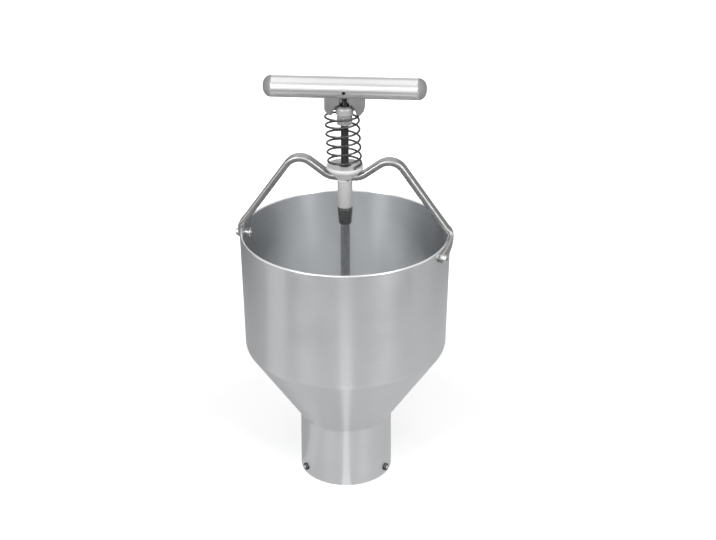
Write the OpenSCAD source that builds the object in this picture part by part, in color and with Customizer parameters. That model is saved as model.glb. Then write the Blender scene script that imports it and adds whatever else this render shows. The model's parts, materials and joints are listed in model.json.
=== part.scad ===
// Hand-held dispenser that drops rings of batter: a hopper with an outlet tube, a bridge over the rim
// that guides a sprung plunger, and a T-handle that is pressed to open the outlet and push the batter out.
// Millimetres, +Z up. The origin is the middle of the outlet's lower edge, and the bridge runs along X.

/* [Hopper] */
// Outside diameter of the rim
rim_d = 210; // [196:1:224]
// Height of the nearly straight barrel
barrel_h = 123; // [105:1:140]
// Amount by which the barrel's radius shrinks from the rim to the shoulder
barrel_draft = 1.8; // [1:0.1:2.4]
// Height of the cone
cone_h = 84; // [74:1:96]
// Outside diameter of the neck, where the cone meets the outlet tube
neck_d = 95.6; // [92:0.2:100]
// Length of the outlet tube
outlet_h = 67; // [60:1:74]
// Amount by which the outlet tube's radius grows from the neck to the mouth
outlet_flare = 0.7; // [0.2:0.1:1]
// Thickness of the sheet
wall = 2.5; // [2:0.1:3]
// Outside radius of the bend at the shoulder
shoulder_bend = 9; // [6:0.5:12]
// Outside radius of the bend at the neck
neck_bend = 5; // [3:0.5:8]

/* [Die] */
// Diameter of the valve disc, which is the hole in the die ring less its clearance
valve_d = 81.4; // [78:0.2:82]
// Clearance between the valve disc and the die ring, on the radius
valve_gap = 0.3; // [0.2:0.05:0.5]
// Height of the die ring
die_h = 16; // [14:1:20]
// Height of the die ring's lower edge above the mouth
die_lift = 0.4; // [0.2:0.1:1]
// Diameter of the die screws
die_screw_d = 4; // [3:0.5:5]
// Diameter of the die screws' heads
die_head_d = 8; // [7:0.5:9]
// Height of the die screws' heads
die_head_h = 2; // [1.5:0.1:3]
// Diameter of the holes in the outlet tube that the die screws sit in
die_hole_d = 6.2; // [5.4:0.2:7]
// Height of the die screws above the mouth
die_screw_z = 8; // [6:0.5:10]
// Number of die screws
die_screw_count = 3; // [2:1:4]
// Angle of the first die screw
die_screw_turn = -23; // [-40:1:-10]

/* [Bridge] */
// Width of the bar, across the bridge
bar_w = 12.5; // [11:0.5:14]
// Thickness of the bar
bar_t = 6; // [5:0.5:7]
// Height of the bar's underside over the hub's lower end
bar_lift = 0.6; // [0.4:0.1:1.5]
// Distance from the middle to where the bar starts to rise
valley_x = 15.5; // [14:0.5:17]
// Radius of the bar's middle line where it leaves the hub
valley_bend = 18; // [14:1:20]
// Distance from the middle to each hump's corner
hump_x = 47.5; // [44:0.5:50]
// Height of each hump's corner over the bar at the hub
hump_rise = 23.6; // [20:0.2:28]
// Radius of the bar's middle line over each hump
hump_bend = 16; // [12:0.5:18]
// Height over the rim at which the leg's middle line meets the wall
leg_lift = 1.2; // [0.8:0.1:3]
// Width of the tab at each foot
tab_w = 10; // [9:0.5:12]
// Thickness of the tab at each foot
tab_t = 3; // [2.5:0.1:4]
// Angle round the wall from the right leg to its screw
right_swing = 20; // [16:0.5:23]
// Angle round the wall from the left leg to its screw
left_swing = 0; // [-4:0.5:6]
// Distance of the bridge screws below the rim
tab_drop = 8; // [7:0.5:11]
// Diameter of the bridge screws
bridge_screw_d = 4; // [3.5:0.5:5]
// Length of the flat nut on the right bridge screw
flat_nut_l = 1.6; // [1.2:0.1:2.4]
// Length of the flared nut on the left bridge screw
flared_nut_l = 6.5; // [5:0.5:8]

/* [Hub] */
// Height of the hub's top over the rim
hub_rise = 69.5; // [62:0.5:76]
// Diameter of the hub's top, where the spring stands
hub_d = 36.5; // [36:0.5:40]
// Height of the hub
hub_h = 15; // [13:0.5:18]
// Diameter of the hub's lower end
hub_low_d = 17.6; // [17:0.2:20]
// Diameter of the guide sleeve under the hub
sleeve_d = 14.8; // [14:0.2:16]
// Diameter of the sleeve's spigot in the hub
spigot_d = 12.4; // [12:0.2:13]
// Length of the sleeve under the hub
sleeve_h = 29.5; // [24:0.5:36]
// Diameter of the sleeve's and the handle's set screws
set_screw_d = 4; // [3:0.5:4.5]
// Angle of the sleeve's set screw
sleeve_screw_turn = -62; // [-75:1:-55]

/* [Plunger] */
// Diameter of the rod
rod_d = 9.4; // [9:0.1:10]
// Diameter of the threaded stud, and of the rod's thinner lower end
stud_d = 8; // [7:0.1:8.2]
// Running clearance on the radius of the rod, the nuts and the bores
run_gap = 0.05; // [0.02:0.01:0.1]
// Length of the stop collar
collar_h = 17; // [14:0.5:20]
// Diameter of the stop collar's top
collar_top_d = 15.2; // [14:0.2:16]
// Diameter of the stop collar's lower end
collar_low_d = 12.4; // [11.6:0.2:13.6]
// Distance of the piston above the neck at rest
piston_rise = 18; // [14:0.5:24]
// Thickness of the piston
piston_t = 8; // [7:0.5:10]
// Clearance between the piston and the neck, on the radius
piston_gap = 0.6; // [0.5:0.05:1]
// Thickness of the piston's seal ring
seal_t = 2.9; // [2.5:0.1:3.2]
// Diameter of the spacer sleeve between the piston and the valve disc
spacer_d = 14; // [12:0.5:16]
// Height of the valve disc's lower face above the mouth
valve_lift = 1; // [0.6:0.1:1.6]
// Thickness of the valve disc at its edge
valve_t = 4; // [3:0.5:5]
// Thickness of the valve disc at its hub
valve_hub_t = 8.5; // [8.2:0.1:10]

/* [Spring] */
// Outside diameter of the spring
spring_d = 34.5; // [33:0.1:35]
// Diameter of the spring's wire
wire_d = 2.1; // [1.8:0.1:2.4]
// Length of the spring at rest
spring_h = 52.2; // [48:0.2:57]
// Number of turns
spring_turns = 6.1; // [5:0.1:7]
// Turns at each end over which the pitch grows from nothing
spring_ease = 0.75; // [0.5:0.05:1]
// Radius of the bend from the lowest turn into its straight tail
spring_bend = 2.2; // [1.8:0.1:2.6]
// Angle of the tail
spring_start = -46; // [-90:1:0]
// Distance by which the spring's top leans to the left
spring_lean = 2.8; // [0:0.1:3.2]

/* [Handle] */
// Length of the handle over its end caps
handle_l = 156.4; // [140:0.2:170]
// Diameter of the handle's bar
handle_d = 21; // [20:0.5:24]
// Wall of the handle's tube
handle_wall = 2.5; // [2:0.1:3]
// Length of each end cap outside the tube
cap_l = 8.5; // [7:0.5:11]
// Length of each end cap's plug inside the tube
plug_l = 12; // [9:1:16]
// Angle of the handle to the bridge
handle_turn = 3; // [-10:1:10]
// Width of the yoke
yoke_w = 38.5; // [37:0.5:42]
// Depth of the yoke
yoke_d = 16; // [15.8:0.1:16.4]
// Distance of the yoke's front from the axis
yoke_front = 6; // [5.6:0.1:6.2]
// Height of the bar's axis over the yoke's lower face
yoke_rise = 26.2; // [25.5:0.1:29]
// Width of the arched pocket in the yoke, round the stop nut
pocket_w = 23; // [21.5:0.5:24]
// Thickness of the wall that closes the pocket's back
pocket_wall = 1.2; // [1:0.1:1.4]
// Width of the slot from the pocket up to the bar, in the yoke's front
slot_w = 9; // [8.6:0.2:10]
// Distance of the slot's floor from the axis
slot_floor = 2.6; // [2.2:0.1:3]
// Height of the chamfer on each lower corner of the yoke
chamfer_h = 5; // [3:0.5:6]
// Width of that chamfer
chamfer_w = 4; // [3:0.5:5]
// Diameter of the yoke's spigot in the tube
yoke_spigot_d = 11; // [10:0.2:11.4]
// Angle below the level at which the handle's set screw enters the bar
handle_screw_dip = 15; // [10:1:30]

/* [Stop nut] */
// Distance the plunger can be pressed
press_stroke = 30; // [24:1:32]
// Distance the stop nut can be run down the stud
nut_travel = 10; // [6:0.5:10]
// Room left over the hub when both are at their limit
stop_room = 1.9; // [1:0.1:2.4]
// Height of the lock nut
lock_nut_h = 9; // [6.5:0.5:9.5]
// Distance across the flats of the lock nut
lock_nut_af = 14; // [13:0.1:14.6]
// Diameter of the stop nut's neck
stop_neck_d = 14.4; // [13:0.1:15]
// Height of the stop nut's neck
stop_neck_h = 1; // [0.6:0.1:1.6]
// Diameter of the stop nut's head
stop_head_d = 16.8; // [16:0.1:18]
// Height of the stop nut's head
stop_head_h = 8.5; // [7:0.1:9]
// Height of the dome on that head
stop_dome_h = 2.8; // [2:0.1:3.4]

/* [Hidden] */
$fn = 96;

// Heights of the hopper's bends and its rim, and the radii there
neck_z = outlet_h;
shoulder_z = neck_z + cone_h;
rim_z = shoulder_z + barrel_h;
rim_r = rim_d / 2;
shoulder_r = rim_r - barrel_draft;
neck_r = neck_d / 2;
mouth_r = neck_r + outlet_flare;

// Small clearances and overlaps
seat_gap = 0.1;
cut_over = 1;
bend_steps = 8;

// Sizes of the standard hardware
screw_head_d = bridge_screw_d * 1.9;
screw_head_h = bridge_screw_d * 0.55;
screw_end = bridge_screw_d * 0.2;
screw_socket_d = bridge_screw_d * 0.6;
bridge_nut_d = bridge_screw_d * 1.6;
bridge_nut_far_ds = [bridge_nut_d, bridge_screw_d * 2.3];
bridge_nut_ls = [flat_nut_l, flared_nut_l];
bridge_washer_d = bridge_screw_d * 2.2;
bridge_washer_t = bridge_screw_d * 0.2;
socket_share = 0.5;
die_point_h = 0.3;

// Bridge: heights of the hub and the bar, and the path of the bar's middle line from the middle to a foot
hub_top_z = rim_z + hub_rise;
hub_low_z = hub_top_z - hub_h;
valley_z = hub_low_z + bar_lift + bar_t / 2;
leg_foot = [rim_r, rim_z + leg_lift];
hump_corner = [hump_x, valley_z + hump_rise];
leg_end = leg_foot + unit(leg_foot - hump_corner) * 2 * bar_t;
bar_path = [[0, valley_z], [valley_x, valley_z], hump_corner, leg_end];
tab_in_r = rim_r + seat_gap;
tab_out_r = tab_in_r + tab_t;
tab_top = [0, rim_z];
tab_strip_w = 0.92 * tab_w;
tab_screw_z = rim_z - tab_drop;
foot_turns = [0, 180];
foot_swings = [right_swing, left_swing];
screw_turns = foot_turns - foot_swings;
hub_lip_h = 3;
hub_foot_h = 2;
sleeve_low_z = hub_low_z - sleeve_h;
sleeve_round = 2;
sleeve_screw_z = hub_low_z + set_screw_d / 2 + hub_foot_h / 2;

// Bridge screws: distances from the axis of the faces that they clamp, flat against the round wall
washer_seat_r = tab_out_r + seat_gap;
screw_seat_r = washer_seat_r + bridge_washer_t;
barrel_in_r = barrel_r(tab_screw_z) - wall;
nut_seat_r = sqrt(pow(barrel_in_r, 2) - pow(bridge_nut_d / 2, 2)) - 2 * seat_gap;

// Spring: its middle line unrolled, with the way round in x and the height in y
coil_r = (spring_d - wire_d) / 2;
coil_round = 2 * PI * coil_r;
curl_rings = 8;
wire_sides = 6;
tail_l = wire_d;
spring_top_z = hub_top_z + spring_h;
tail_low_z = hub_top_z - tail_l;
coil_low_z = hub_top_z + seat_gap + spring_bend;
coil_top_z = spring_top_z - seat_gap - wire_d / 2;
pitch = (coil_top_z - coil_low_z) / (spring_turns - spring_ease);
spring_path = concat(
    [[0, tail_low_z]],
    bend([0, tail_low_z], [0, coil_low_z], [coil_round, coil_low_z], spring_bend, 0),
    [for (i = [1 : spring_turns * curl_rings - 0.5]) turn_point(i / curl_rings)],
    [turn_point(spring_turns)]);
tail_hole_d = wire_d + 4 * seat_gap;

// Plunger: heights of its parts at rest
bar_z = spring_top_z + yoke_rise;
rod_top_z = hub_top_z - wire_d;
stud_hold = 2 * stud_d;
stud_top_z = bar_z - seat_gap;
collar_top_z = sleeve_low_z - seat_gap;
piston_low_z = neck_z + piston_rise;
rod_step_z = piston_low_z + piston_t;
piston_r = neck_r - wall - piston_gap;
seal_mid_r = neck_r - wall - piston_gap / 2 - seal_t / 2;
valve_top_z = valve_lift + valve_hub_t;
valve_nut_af = stud_d * 13 / 8;
valve_nut_h = stud_d / 2;
valve_washer_d = stud_d * 2;
valve_washer_t = 1.2;
valve_hub_d = valve_washer_d + 8;
valve_recess_d = valve_washer_d + 1;
valve_recess_h = valve_nut_h + valve_washer_t + 2 * seat_gap;
rod_low_z = valve_lift + seat_gap;
rod_hole_d = stud_d + 2 * run_gap;

// Handle: half the tube's length, and the stop nuts' heights at rest
tube_half = handle_l / 2 - cap_l;
plug_d = handle_d - 2 * handle_wall - 2 * run_gap;
lock_nut_z = hub_top_z + press_stroke + nut_travel + stop_room;
stop_nut_z = lock_nut_z + lock_nut_h + seat_gap;

// Vectors in a plane
function unit(v) = v / norm(v);
function left_of(v) = [-v[1], v[0]];
function turned(v, a) = [v[0] * cos(a) - v[1] * sin(a), v[0] * sin(a) + v[1] * cos(a)];
function turn_angle(u, v) = atan2(u[0] * v[1] - u[1] * v[0], u * v);
function reverse(list) = [for (i = [len(list) - 1 : -1 : 0]) list[i]];
function mirrored(list) = [for (p = list) [-p[0], p[1]]];

// Arc that rounds the corner b of the path a, b, c with radius r, moved to the path's left by side
function bend(a, b, c, r, side) =
    let (u = unit(b - a), v = unit(c - b), angle = turn_angle(u, v), way = sign(angle))
    let (middle = b - u * r * tan(abs(angle) / 2) + left_of(u) * r * way)
    [for (i = [0 : bend_steps]) middle - turned(left_of(u) * way * (r - side * way), angle * i / bend_steps)];

// Outside radius of the barrel and of the outlet tube at height z
function barrel_r(z) = shoulder_r + barrel_draft * (z - shoulder_z) / barrel_h;
function outlet_r(z) = mouth_r - outlet_flare * z / outlet_h;

// One side of the hopper's sheet from the mouth to the rim, moved in by side
function sheet_side(side) =
    let (path = [[mouth_r, 0], [neck_r, neck_z], [shoulder_r, shoulder_z], [rim_r, rim_z]])
    concat(
        [path[0] - [side, 0]],
        bend(path[0], path[1], path[2], neck_bend, side),
        bend(path[1], path[2], path[3], shoulder_bend, side),
        [path[3] - [side, 0]]);

// One side of the bridge's bar from the hub to the foot on +X, moved to the left by side
function bar_side(side) =
    let (way = unit(bar_path[3] - bar_path[2]))
    concat(
        bend(bar_path[0], bar_path[1], bar_path[2], valley_bend, side),
        bend(bar_path[1], bar_path[2], bar_path[3], hump_bend, side),
        [bar_path[3] + left_of(way) * side]);

// Turns climbed after t turns, where the pitch grows over the first and the last spring_ease turns
function eased(t) =
    t < spring_ease ? t * t / (2 * spring_ease)
    : t > spring_turns - spring_ease ? spring_turns - spring_ease - pow(spring_turns - t, 2) / (2 * spring_ease)
    : t - spring_ease / 2;
function turn_point(t) = [spring_bend + t * coil_round, coil_low_z + pitch * eased(t)];

// Point of the spring's path, and the ring of its wire there
function spring_angle(p) = spring_start + p[0] / coil_r * 180 / PI;
function spring_shift(p) = -spring_lean * max(p[1] - hub_top_z, 0) / spring_h;
function spring_point(p) = [spring_shift(p) + coil_r * cos(spring_angle(p)), coil_r * sin(spring_angle(p)), p[1]];
function spring_way(i) = unit(spring_path[min(i + 1, len(spring_path) - 1)] - spring_path[max(i - 1, 0)]);
function wire_ring(i) =
    let (p = spring_path[i], a = spring_angle(p), up = left_of(spring_way(i)))
    let (out = [cos(a), sin(a), 0], over = [-sin(a) * up[0], cos(a) * up[0], up[1]])
    [for (k = [0 : wire_sides - 1])
        spring_point(p) + (out * cos(360 * k / wire_sides) + over * sin(360 * k / wire_sides)) * wire_d / 2];

// Least gap between the spring's turns, measured between points at least half a turn apart
spring_gap = min([for (i = [0 : len(spring_path) - 1]) for (j = [i + 1 : 1 : len(spring_path) - 1])
    if (spring_path[j][0] - spring_path[i][0] > coil_round / 2)
        norm(spring_point(spring_path[j]) - spring_point(spring_path[i])) - wire_d]);
echo("Least gap between the spring's turns", spring_gap);

// Places its children at an angle round the axis, their own +Z pointing outwards
module radial(angle, z) {
    translate([0, 0, z]) rotate([0, 90, angle]) children();
}

// Places its children in the handle's own frame, at the bar's axis with the bar along X
module handle_frame() {
    translate([0, 0, bar_z]) rotate([0, 0, handle_turn]) children();
}

// Places its children on the handle's set screw axis, their own +Z pointing outwards
module handle_screw_axis() {
    handle_frame() rotate([90 + handle_screw_dip, 0, 0]) children();
}

// A tube from z = 0 up to z = h
module tube(out_d, in_d, h) {
    difference() {
        cylinder(d = out_d, h = h);
        translate([0, 0, -cut_over]) cylinder(d = in_d, h = h + 2 * cut_over);
    }
}

// A hexagonal nut from z = 0 up to z = h, with its corners turned off on both faces
module hex_nut(af, hole_d, h) {
    corner_d = af / cos(30);
    chamfer = (corner_d - af) / 2;
    difference() {
        intersection() {
            cylinder(d = corner_d, h = h, $fn = 6);
            rotate_extrude() polygon([[0, 0], [af / 2, 0], [corner_d / 2, chamfer],
                [corner_d / 2, h - chamfer], [af / 2, h], [0, h]]);
        }
        translate([0, 0, -cut_over]) cylinder(d = hole_d, h = h + 2 * cut_over);
    }
}

// A headless screw that ends at z = 0 and reaches down by l, with a hexagonal socket
module grub_screw(d, l) {
    difference() {
        translate([0, 0, -l]) cylinder(d = d, h = l);
        translate([0, 0, -d / 2]) cylinder(d = d * socket_share, h = d, $fn = 6);
    }
}

// A domed head of diameter d and height h on z = 0, with its hole cut elsewhere
module dome(d, h) {
    round_r = (d * d / 4 + h * h) / (2 * h);
    intersection() {
        translate([0, 0, h - round_r]) sphere(r = round_r);
        cylinder(d = d, h = h);
    }
}

module hopper() {
    color("Silver") difference() {
        rotate_extrude() polygon(concat(sheet_side(0), reverse(sheet_side(wall))));
        for (angle = screw_turns) radial(angle, tab_screw_z)
            cylinder(d = bridge_screw_d + 4 * seat_gap, h = 2 * rim_r);
        for (i = [0 : die_screw_count - 1]) radial(die_screw_turn + i * 360 / die_screw_count, die_screw_z)
            cylinder(d = die_hole_d, h = 2 * mouth_r);
    }
}

module die_ring() {
    in_r = valve_d / 2 + valve_gap;
    top_z = die_lift + die_h;
    color("LightGray") difference() {
        translate([0, 0, die_lift]) cylinder(r1 = outlet_r(die_lift) - wall - seat_gap,
            r2 = outlet_r(top_z) - wall - seat_gap, h = die_h);
        cylinder(r = in_r, h = top_z + cut_over);
        translate([0, 0, top_z - die_h / 4]) cylinder(r1 = in_r, r2 = in_r + die_h / 4, h = die_h / 4 + seat_gap);
        for (i = [0 : die_screw_count - 1]) radial(die_screw_turn + i * 360 / die_screw_count, die_screw_z)
            cylinder(d = die_screw_d + 2 * run_gap, h = 2 * mouth_r);
    }
}

module die_screws() {
    tip_r = valve_d / 2 + valve_gap + seat_gap;
    seat_r = outlet_r(die_screw_z - die_head_d / 2) + seat_gap;
    color("DimGray") for (i = [0 : die_screw_count - 1])
        radial(die_screw_turn + i * 360 / die_screw_count, die_screw_z) union() {
            translate([0, 0, tip_r]) cylinder(d = die_screw_d, h = seat_r + die_head_h + die_point_h - tip_r);
            translate([0, 0, seat_r]) cylinder(d = die_head_d, h = die_head_h);
        }
}

// The tab of a foot on +X, before it is cut to the wall's curve: a strip from the leg's end to the screw
module foot_tab(swing) {
    screw = [-tab_in_r * sin(swing), tab_screw_z];
    run = tab_top - screw;
    near_x = sqrt(pow(tab_in_r, 2) - pow(tab_w + abs(screw[0]), 2));
    translate([near_x, 0, 0]) rotate([90, 0, 90]) linear_extrude(tab_out_r - near_x + cut_over)
        intersection() {
            union() {
                translate(screw) circle(d = tab_w);
                translate(screw) rotate(atan2(run[1], run[0])) translate([0, -tab_strip_w / 2])
                    square([norm(run), tab_strip_w]);
            }
            translate([-rim_r, 0]) square([2 * rim_r, rim_z - seat_gap]);
        }
}

// The bar of the bridge with both arms, before its ends are cut to the wall's curve
module bridge_bar() {
    low = bar_side(-bar_t / 2);
    high = bar_side(bar_t / 2);
    rotate([90, 0, 0]) linear_extrude(bar_w, center = true)
        polygon(concat(low, reverse(high), mirrored(high), reverse(mirrored(low))));
}

// The funnel of the hub, without its bore
module hub_funnel() {
    rotate_extrude() polygon([[0, hub_low_z], [hub_low_d / 2, hub_low_z], [hub_low_d / 2, hub_low_z + hub_foot_h],
        [hub_d / 2 - hub_lip_h / 2, hub_top_z - 1.5 * hub_lip_h], [hub_d / 2, hub_top_z - hub_lip_h],
        [hub_d / 2, hub_top_z], [0, hub_top_z]]);
}

module bridge() {
    color("DarkGray") difference() {
        intersection() {
            union() {
                bridge_bar();
                for (foot = [0, 1]) rotate(foot_turns[foot]) foot_tab(foot_swings[foot]);
                hub_funnel();
            }
            cylinder(r = tab_out_r, h = 2 * hub_top_z);
        }
        translate([0, 0, shoulder_z]) cylinder(r = tab_in_r, h = barrel_h);
        translate([0, 0, hub_low_z - cut_over]) cylinder(d = spigot_d, h = hub_h + 2 * cut_over);
        radial(sleeve_screw_turn, sleeve_screw_z) cylinder(d = set_screw_d + 2 * run_gap, h = hub_d);
        for (angle = screw_turns) radial(angle, tab_screw_z)
            cylinder(d = bridge_screw_d + 4 * seat_gap, h = 2 * rim_r);
        rotate(spring_start) translate([coil_r, 0, tail_low_z]) cylinder(d = tail_hole_d, h = hub_h);
    }
}

module bridge_screws() {
    color("Gainsboro") for (foot = [0, 1]) radial(screw_turns[foot], tab_screw_z) difference() {
        tip_r = nut_seat_r - bridge_nut_ls[foot] - screw_end;
        union() {
            translate([0, 0, tip_r]) cylinder(d = bridge_screw_d, h = screw_seat_r - tip_r + seat_gap);
            translate([0, 0, screw_seat_r]) dome(screw_head_d, screw_head_h);
        }
        translate([0, 0, screw_seat_r + screw_head_h / 2]) cylinder(d = screw_socket_d, h = screw_head_h, $fn = 6);
    }
}

module bridge_washers() {
    color("Silver") for (angle = screw_turns) radial(angle, tab_screw_z)
        translate([0, 0, washer_seat_r]) tube(bridge_washer_d, bridge_screw_d + 2 * run_gap, bridge_washer_t);
}

// The nuts inside the wall: a flat one on the right, and a longer one that flares inwards on the left
module bridge_nuts() {
    color("Gainsboro") for (foot = [0, 1]) radial(screw_turns[foot], tab_screw_z)
        translate([0, 0, nut_seat_r - bridge_nut_ls[foot]]) difference() {
            cylinder(d1 = bridge_nut_far_ds[foot], d2 = bridge_nut_d, h = bridge_nut_ls[foot]);
            translate([0, 0, -cut_over])
                cylinder(d = bridge_screw_d + 2 * run_gap, h = bridge_nut_ls[foot] + 2 * cut_over);
        }
}

module guide_sleeve() {
    bore_r = rod_d / 2 + run_gap;
    arc = [for (a = [0 : 90 / bend_steps : 90])
        [sleeve_d / 2 - sleeve_round * (1 - sin(a)), sleeve_low_z + sleeve_round * (1 - cos(a))]];
    color("Gainsboro") rotate_extrude() polygon(concat([[bore_r, sleeve_low_z]], arc,
        [[sleeve_d / 2, hub_low_z], [spigot_d / 2 - run_gap, hub_low_z], [spigot_d / 2 - run_gap, hub_top_z],
        [bore_r, hub_top_z]]));
}

module sleeve_set_screw() {
    color("DimGray") radial(sleeve_screw_turn, sleeve_screw_z) translate([0, 0, hub_low_d / 2])
        grub_screw(set_screw_d, hub_low_d / 2 - spigot_d / 2);
}

module spring() {
    rings = len(spring_path);
    faces = concat(
        [for (k = [1 : wire_sides - 2]) [0, k, k + 1]],
        [for (i = [0 : rings - 2]) for (k = [0 : wire_sides - 1]) for (half = [0, 1])
            let (n = (k + 1) % wire_sides, low = i * wire_sides, high = low + wire_sides)
            half == 0 ? [low + k, high + k, high + n] : [low + k, high + n, low + n]],
        [for (k = [1 : wire_sides - 2]) (rings - 1) * wire_sides * [1, 1, 1] + [0, k + 1, k]]);
    color("DimGray") polyhedron([for (i = [0 : rings - 1]) for (p = wire_ring(i)) p], faces);
}

module handle_bar() {
    color("WhiteSmoke") difference() {
        handle_frame() translate([-tube_half, 0, 0]) rotate([0, 90, 0])
            tube(handle_d, handle_d - 2 * handle_wall, 2 * tube_half);
        handle_frame() translate([0, 0, -handle_d]) cylinder(d = yoke_spigot_d + 2 * run_gap, h = handle_d);
        handle_screw_axis() cylinder(d = set_screw_d + 2 * run_gap, h = handle_d);
    }
}

module handle_caps() {
    dome_arc = [for (a = [0 : 90 / bend_steps : 90]) [handle_d / 2 * cos(a), cap_l * sin(a)]];
    color("DarkGray") handle_frame() for (side = [-1, 1]) translate([side * tube_half, 0, 0])
        rotate([0, side * 90, 0]) union() {
            rotate_extrude() polygon(concat([[0, 0]], dome_arc));
            translate([0, 0, -plug_l]) cylinder(d = plug_d, h = plug_l + seat_gap);
        }
}

module handle_yoke() {
    outline = [[-yoke_w / 2 + chamfer_w, -yoke_rise], [yoke_w / 2 - chamfer_w, -yoke_rise],
        [yoke_w / 2, chamfer_h - yoke_rise], [yoke_w / 2, 0], [-yoke_w / 2, 0],
        [-yoke_w / 2, chamfer_h - yoke_rise]];
    yoke_back = yoke_d - yoke_front;
    color("DarkGray") difference() {
        union() {
            handle_frame() difference() {
                translate([0, yoke_back, 0]) rotate([90, 0, 0]) linear_extrude(yoke_d) polygon(outline);
                translate([0, yoke_back - pocket_wall, -yoke_rise]) rotate([90, 0, 0])
                    cylinder(d = pocket_w, h = yoke_d);
                rotate([0, 90, 0]) cylinder(d = handle_d + 2 * seat_gap, h = handle_l, center = true);
                translate([-slot_w / 2, -yoke_d - slot_floor, -yoke_rise]) cube([slot_w, yoke_d, yoke_rise]);
            }
            translate([0, 0, bar_z - handle_d / 2 - cut_over]) cylinder(d = yoke_spigot_d, h = handle_d / 2);
        }
        translate([0, 0, spring_top_z - cut_over]) cylinder(d = rod_hole_d, h = bar_z);
        handle_screw_axis() cylinder(d = set_screw_d + 2 * run_gap, h = handle_d);
    }
}

module handle_set_screw() {
    color("DimGray") handle_screw_axis() translate([0, 0, handle_d / 2 - seat_gap])
        grub_screw(set_screw_d, handle_d / 2 - stud_d / 2 - set_screw_d / 3);
}

module stud() {
    color("DimGray") translate([0, 0, rod_top_z - stud_hold])
        cylinder(d = stud_d, h = stud_top_z - rod_top_z + stud_hold);
}

module stop_nut() {
    side_h = stop_head_h - stop_dome_h;
    color("Gray") difference() {
        translate([0, 0, stop_nut_z]) union() {
            cylinder(d = stop_neck_d, h = stop_neck_h + seat_gap);
            translate([0, 0, stop_neck_h]) cylinder(d = stop_head_d, h = side_h);
            translate([0, 0, stop_neck_h + side_h]) dome(stop_head_d, stop_dome_h);
        }
        translate([0, 0, hub_top_z]) cylinder(d = rod_hole_d, h = bar_z);
    }
}

module lock_nut() {
    color("Gray") translate([0, 0, lock_nut_z]) hex_nut(lock_nut_af, rod_hole_d, lock_nut_h);
}

module plunger_rod() {
    color("LightGray") difference() {
        union() {
            translate([0, 0, rod_low_z]) cylinder(d = stud_d, h = rod_top_z - rod_low_z);
            translate([0, 0, rod_step_z]) cylinder(d = rod_d, h = rod_top_z - rod_step_z);
        }
        translate([0, 0, rod_top_z - stud_hold - seat_gap]) cylinder(d = rod_hole_d, h = stud_hold + cut_over);
    }
}

module stop_collar() {
    color("Black") difference() {
        translate([0, 0, collar_top_z - collar_h]) cylinder(d1 = collar_low_d, d2 = collar_top_d, h = collar_h);
        translate([0, 0, collar_top_z - collar_h - cut_over])
            cylinder(d = rod_d + 2 * run_gap, h = collar_h + 2 * cut_over);
    }
}

module piston() {
    groove_r = seal_mid_r - seal_t / 2 - run_gap;
    color("WhiteSmoke") difference() {
        translate([0, 0, piston_low_z]) cylinder(r = piston_r, h = piston_t);
        translate([0, 0, piston_low_z + (piston_t - seal_t) / 2 - run_gap])
            tube(2 * piston_r + cut_over, 2 * groove_r, seal_t + 2 * run_gap);
        translate([0, 0, piston_low_z - cut_over]) cylinder(d = rod_hole_d, h = piston_t + 2 * cut_over);
    }
}

module piston_seal() {
    color("Black") translate([0, 0, piston_low_z + piston_t / 2])
        rotate_extrude() translate([seal_mid_r, 0]) circle(d = seal_t);
}

module spacer_sleeve() {
    color("LightGray") translate([0, 0, valve_top_z]) tube(spacer_d, rod_hole_d, piston_low_z - valve_top_z);
}

module valve_disc() {
    color("Gainsboro") difference() {
        rotate_extrude() polygon([[0, valve_lift], [valve_d / 2, valve_lift], [valve_d / 2, valve_lift + valve_t],
            [valve_hub_d / 2, valve_top_z], [0, valve_top_z]]);
        translate([0, 0, valve_lift - cut_over]) cylinder(d = valve_recess_d, h = valve_recess_h + cut_over);
        cylinder(d = rod_hole_d, h = valve_top_z + cut_over);
    }
}

module valve_washer() {
    color("Silver") translate([0, 0, valve_lift + valve_recess_h - valve_washer_t])
        tube(valve_washer_d, rod_hole_d, valve_washer_t);
}

module valve_nut() {
    color("Silver") translate([0, 0, valve_lift + valve_recess_h - valve_washer_t - valve_nut_h])
        hex_nut(valve_nut_af, rod_hole_d, valve_nut_h);
}

hopper();
die_ring();
die_screws();
bridge();
bridge_screws();
bridge_washers();
bridge_nuts();
guide_sleeve();
sleeve_set_screw();
spring();
handle_bar();
handle_caps();
handle_yoke();
handle_set_screw();
stud();
stop_nut();
lock_nut();
plunger_rod();
stop_collar();
piston();
piston_seal();
spacer_sleeve();
valve_disc();
valve_washer();
valve_nut();
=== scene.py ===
# %% [markdown]
# Batter dispenser, dressed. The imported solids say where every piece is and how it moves. This lesson lays finished
# surfaces over them: each one is worked out with numpy as a grid of points, so a curve is a formula and not a guess.
# Lengths are in millimetres until a mesh is made, because that is how the real pieces are drawn.

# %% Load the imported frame
import json
import math

import bmesh
import bpy
import numpy as np
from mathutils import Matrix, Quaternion, Vector


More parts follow.
